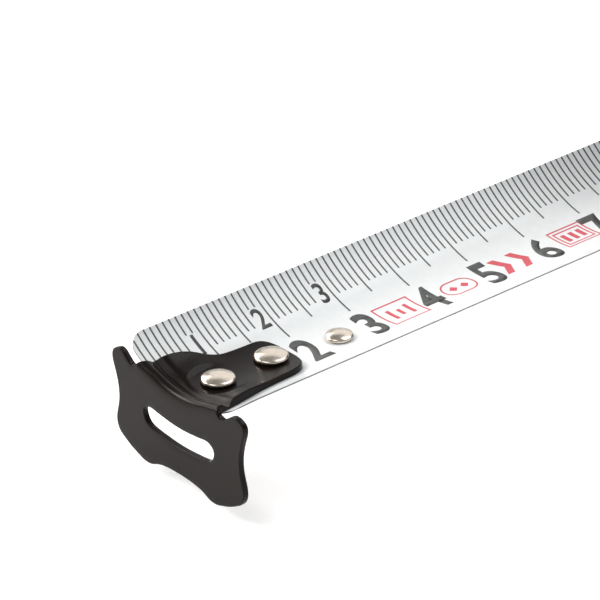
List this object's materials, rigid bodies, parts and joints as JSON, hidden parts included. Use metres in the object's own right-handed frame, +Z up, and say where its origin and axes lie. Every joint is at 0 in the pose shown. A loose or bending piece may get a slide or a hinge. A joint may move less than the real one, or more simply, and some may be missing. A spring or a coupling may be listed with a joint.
{
  "type": "tape measure",
  "caption": "Retractable pocket tape measure: concave white steel blade with a sliding black end hook, spring reel in a two-shell case with rubber skin, thumb lock and belt clip.",
  "frame": {"origin": "centre of the case's bottom face, on the surface the case stands on", "axes": "+Z up, the blade is drawn out towards -X, the belt clip is on the +Y side"},
  "size_m": [0.1838, 0.0484, 0.0835],
  "materials": {
    "shell_plastic": "moulded, fine texture",
    "grip_rubber": "matt soft rubber",
    "blade_paint": "white lacquered and nylon coated steel, printed scale",
    "hook_black": "satin black coated steel",
    "nickel": "bright nickel plate",
    "spring_steel": "bare tempered strip",
    "clip_steel": "brushed stainless strip",
    "screw_steel": "black zinc",
    "reel_plastic": "moulded",
    "lock_plastic": "moulded, fine texture",
    "badge_metal": "spun satin"
  },
  "bodies": {
    "case": {"case_left": "shell_plastic", "case_right": "shell_plastic", "grip_left": "grip_rubber", "grip_right": "grip_rubber", "base_pad": "grip_rubber", "nose_bumper": "grip_rubber", "mouth_guide": "clip_steel", "arbor": "spring_steel", "power_spring": "spring_steel", "case_screws": "screw_steel", "belt_clip": "clip_steel", "clip_screw": "screw_steel", "badge": "badge_metal", "blade_lead": "blade_paint"},
    "reel": {"drum": "reel_plastic", "drum_cover": "reel_plastic", "blade_coil": "blade_paint"},
    "splice": {"blade_splice": "blade_paint"},
    "blade": {"blade": "blade_paint", "backing_strip": "spring_steel", "hook_rivets": "nickel", "strip_rivet": "nickel"},
    "hook": {"end_hook": "hook_black"},
    "lock": {"lock_button": "lock_plastic", "lock_slider": "reel_plastic"},
    "brake": {"brake_shoe": "reel_plastic", "brake_pads": "grip_rubber"}
  },
  "joints": [
    {"name": "reel_turn", "type": "hinge", "parent": "case", "child": "reel", "pos_m": [0.008, 0, 0.0471], "axis": [0, -1, 0], "range_deg": [0, 180]},
    {"name": "blade_slide", "type": "slide", "parent": "case", "child": "blade", "axis": [1, 0, 0], "range_m": [0, 0.0925]},
    {"name": "splice_slide", "type": "slide", "parent": "case", "child": "splice", "axis": [1, 0, 0], "range_m": [0, 0.04]},
    {"name": "hook_slide", "type": "slide", "parent": "blade", "child": "hook", "axis": [1, 0, 0], "range_m": [-0.0007, 0.0003]},
    {"name": "lock_slide", "type": "slide", "parent": "case", "child": "lock", "axis": [-0.2747, 0, -0.9615], "range_m": [0, 0.006]},
    {"name": "brake_drop", "type": "slide", "parent": "case", "child": "brake", "axis": [0, 0, -1], "range_m": [0, 0.0013]}
  ],
  "couplings": [
    {"joint": "blade_slide", "follows": "reel_turn", "m_per_rad": 0.0294},
    {"joint": "splice_slide", "follows": "reel_turn", "m_per_rad": 0.0127},
    {"joint": "brake_drop", "follows": "lock_slide", "ratio": 0.20833}
  ]
}
